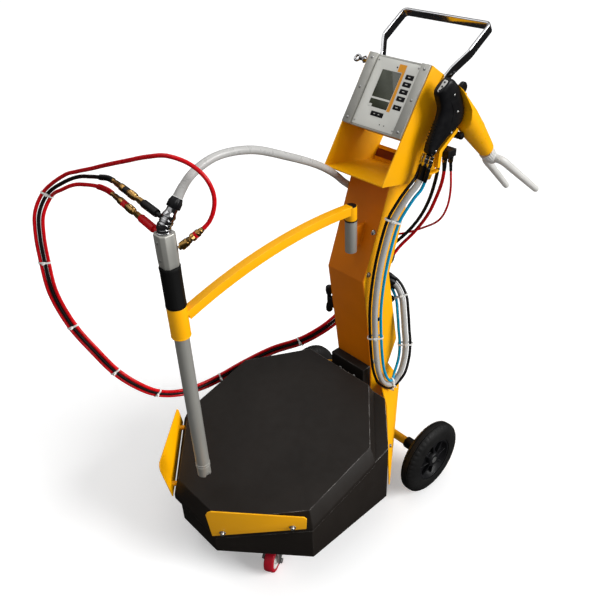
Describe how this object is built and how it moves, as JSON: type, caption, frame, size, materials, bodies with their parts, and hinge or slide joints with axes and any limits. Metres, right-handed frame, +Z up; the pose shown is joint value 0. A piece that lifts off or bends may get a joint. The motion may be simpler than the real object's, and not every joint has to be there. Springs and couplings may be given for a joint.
{
  "type": "mobile powder coating unit",
  "caption": "Box-feed powder coating trolley: sloped vibrating platform, folded column, control unit, swing arm with suction lance, spray gun, hoses and push handle.",
  "frame": {"origin": "on the floor, under the middle of the unit's whole width and depth without its hoses", "axes": "+Z up, +Y to the back where the push handle is, +X to the right as seen by the user standing in front of the panel"},
  "size_m": [0.6716, 0.9731, 1.1005],
  "materials": {
    "yellow_paint": "semi-gloss powder coat",
    "column_paint": "semi-gloss powder coat",
    "brown_paint": "satin powder coat",
    "black_plastic": "satin moulded plastic",
    "key_rubber": "matt silicone keys",
    "tyre_rubber": "ribbed solid rubber",
    "hub_plastic": "moulded",
    "grip_rubber": "matt sleeve",
    "bare_aluminium": "satin, machined",
    "panel_foil": "printed foil, print left out",
    "display": "unlit liquid crystal window",
    "chrome_steel": "polished plating",
    "zinc_steel": "zinc plated",
    "motor_casting": "sand cast housing",
    "caster_tread": "polyurethane",
    "fitting_brass": "turned",
    "gun_yellow": "moulded",
    "gun_white": "moulded",
    "hose_clear": "translucent hose",
    "hose_red": "polyurethane hose",
    "hose_black": "polyurethane hose",
    "hose_blue": "polyurethane hose"
  },
  "bodies": {
    "chassis": {"base_housing": "brown_paint", "spine_front": "column_paint", "side_plate_right": "yellow_paint", "side_plate_left": "yellow_paint", "foot_cover": "black_plastic", "head_housing": "yellow_paint", "control_case": "bare_aluminium", "control_panel": "panel_foil", "display_screen": "display", "push_handle": "chrome_steel", "axle": "yellow_paint", "caster_plate_left": "zinc_steel", "caster_plate_right": "zinc_steel", "arm_bearing": "bare_aluminium", "gun_peg": "black_plastic", "hose_outlets": "bare_aluminium", "lead_cleat": "black_plastic", "powder_hose_lance": "hose_clear", "red_hose_air": "hose_red", "black_hose": "hose_black", "red_hose_pump": "hose_red", "powder_hose_gun": "hose_clear", "gun_cable": "hose_black", "blue_hose": "hose_blue", "red_hose_rear": "hose_red", "black_hose_rear": "hose_black", "red_hose_thin": "hose_red"},
    "platform": {"platform_lid": "brown_paint", "vibration_motor": "motor_casting", "box_stop_right": "yellow_paint", "box_stop_left": "yellow_paint"},
    "wheel_left": {"wheel_tyre_left": "tyre_rubber", "wheel_hub_left": "hub_plastic"},
    "wheel_right": {"wheel_tyre_right": "tyre_rubber", "wheel_hub_right": "hub_plastic"},
    "caster_fork_left": {"caster_fork_left": "zinc_steel"},
    "caster_fork_right": {"caster_fork_right": "zinc_steel"},
    "caster_wheel_left": {"caster_wheel_left": "caster_tread"},
    "caster_wheel_right": {"caster_wheel_right": "caster_tread"},
    "arm": {"swing_arm": "yellow_paint"},
    "lance": {"suction_tube": "bare_aluminium", "lance_grip": "grip_rubber", "pump_block": "bare_aluminium", "injector_body": "chrome_steel", "hose_nut": "black_plastic", "coupling_black": "fitting_brass", "coupling_red": "fitting_brass", "coupling_air": "fitting_brass"},
    "gun": {"gun_body": "black_plastic", "gun_barrel": "gun_yellow", "gun_nozzle": "gun_white"},
    "trigger": {"gun_trigger": "gun_yellow"},
    "eye_screw": {"eye_screw": "chrome_steel"},
    "disc_screw": {"disc_screw": "black_plastic"},
    "key_1": {"key_1": "key_rubber"},
    "key_2": {"key_2": "key_rubber"},
    "key_3": {"key_3": "key_rubber"},
    "key_4": {"key_4": "key_rubber"},
    "key_5": {"key_5": "key_rubber"},
    "key_wide": {"key_wide": "key_rubber"}
  },
  "joints": [
    {"name": "wheel_left_spin", "type": "hinge", "parent": "chassis", "child": "wheel_left", "pos_m": [-0.2255, 0.1096, 0.098], "axis": [1, 0, 0], "continuous": true},
    {"name": "caster_left_swivel", "type": "hinge", "parent": "chassis", "child": "caster_fork_left", "pos_m": [-0.1244, -0.3289, 0.078], "axis": [0, 0, 1], "continuous": true},
    {"name": "caster_left_spin", "type": "hinge", "parent": "caster_fork_left", "child": "caster_wheel_left", "pos_m": [-0.134, -0.34644, 0.031], "axis": [0.8771, -0.4802, 0], "continuous": true},
    {"name": "wheel_right_spin", "type": "hinge", "parent": "chassis", "child": "wheel_right", "pos_m": [0.2255, 0.1096, 0.098], "axis": [1, 0, 0], "continuous": true},
    {"name": "caster_right_swivel", "type": "hinge", "parent": "chassis", "child": "caster_fork_right", "pos_m": [0.1244, -0.3289, 0.078], "axis": [0, 0, 1], "continuous": true},
    {"name": "caster_right_spin", "type": "hinge", "parent": "caster_fork_right", "child": "caster_wheel_right", "pos_m": [0.134, -0.34644, 0.031], "axis": [0.8771, 0.4802, 0], "continuous": true},
    {"name": "platform_shake", "type": "slide", "parent": "chassis", "child": "platform", "axis": [0, 0, 1], "range_m": [-0.0015, 0.0015], "stiffness_N_per_m": 90000, "springref_m": 0.0013},
    {"name": "arm_swing", "type": "hinge", "parent": "chassis", "child": "arm", "pos_m": [0.017, 0.0406, 0.7], "axis": [0, 0, 1], "range_deg": [-80, 25], "deforming": ["powder_hose_lance", "red_hose_air", "black_hose", "red_hose_pump"]},
    {"name": "lance_lift", "type": "slide", "parent": "arm", "child": "lance", "axis": [0, 0, 1], "range_m": [0, 0.25], "deforming": ["powder_hose_lance", "red_hose_air", "black_hose", "red_hose_pump"]},
    {"name": "key_1_press", "type": "slide", "parent": "chassis", "child": "key_1", "axis": [0, 0.8222, -0.5692], "range_m": [0, 0.0012], "stiffness_N_per_m": 500, "springref_m": -0.002},
    {"name": "key_2_press", "type": "slide", "parent": "chassis", "child": "key_2", "axis": [0, 0.8222, -0.5692], "range_m": [0, 0.0012], "stiffness_N_per_m": 500, "springref_m": -0.002},
    {"name": "key_3_press", "type": "slide", "parent": "chassis", "child": "key_3", "axis": [0, 0.8222, -0.5692], "range_m": [0, 0.0012], "stiffness_N_per_m": 500, "springref_m": -0.002},
    {"name": "key_4_press", "type": "slide", "parent": "chassis", "child": "key_4", "axis": [0, 0.8222, -0.5692], "range_m": [0, 0.0012], "stiffness_N_per_m": 500, "springref_m": -0.002},
    {"name": "key_5_press", "type": "slide", "parent": "chassis", "child": "key_5", "axis": [0, 0.8222, -0.5692], "range_m": [0, 0.0012], "stiffness_N_per_m": 500, "springref_m": -0.002},
    {"name": "key_wide_press", "type": "slide", "parent": "chassis", "child": "key_wide", "axis": [0, 0.8222, -0.5692], "range_m": [0, 0.0012], "stiffness_N_per_m": 500, "springref_m": -0.002},
    {"name": "gun_off_peg", "type": "slide", "parent": "chassis", "child": "gun", "axis": [1, 0, 0], "range_m": [0, 0.08], "deforming": ["powder_hose_gun", "gun_cable", "blue_hose"]},
    {"name": "trigger_pull", "type": "hinge", "parent": "gun", "child": "trigger", "pos_m": [0.12965, 0.2432, 0.90794], "axis": [-0.982, 0.1891, 0], "range_deg": [0, 4], "stiffness_Nm_per_rad": 0.5, "springref_deg": -5.73},
    {"name": "eye_screw_turn", "type": "hinge", "parent": "chassis", "child": "eye_screw", "pos_m": [-0.11, 0.2206, 1.013], "axis": [1, 0, 0], "continuous": true},
    {"name": "disc_screw_turn", "type": "hinge", "parent": "chassis", "child": "disc_screw", "pos_m": [0.11, 0.2696, 0.984], "axis": [1, 0, 0], "continuous": true}
  ]
}
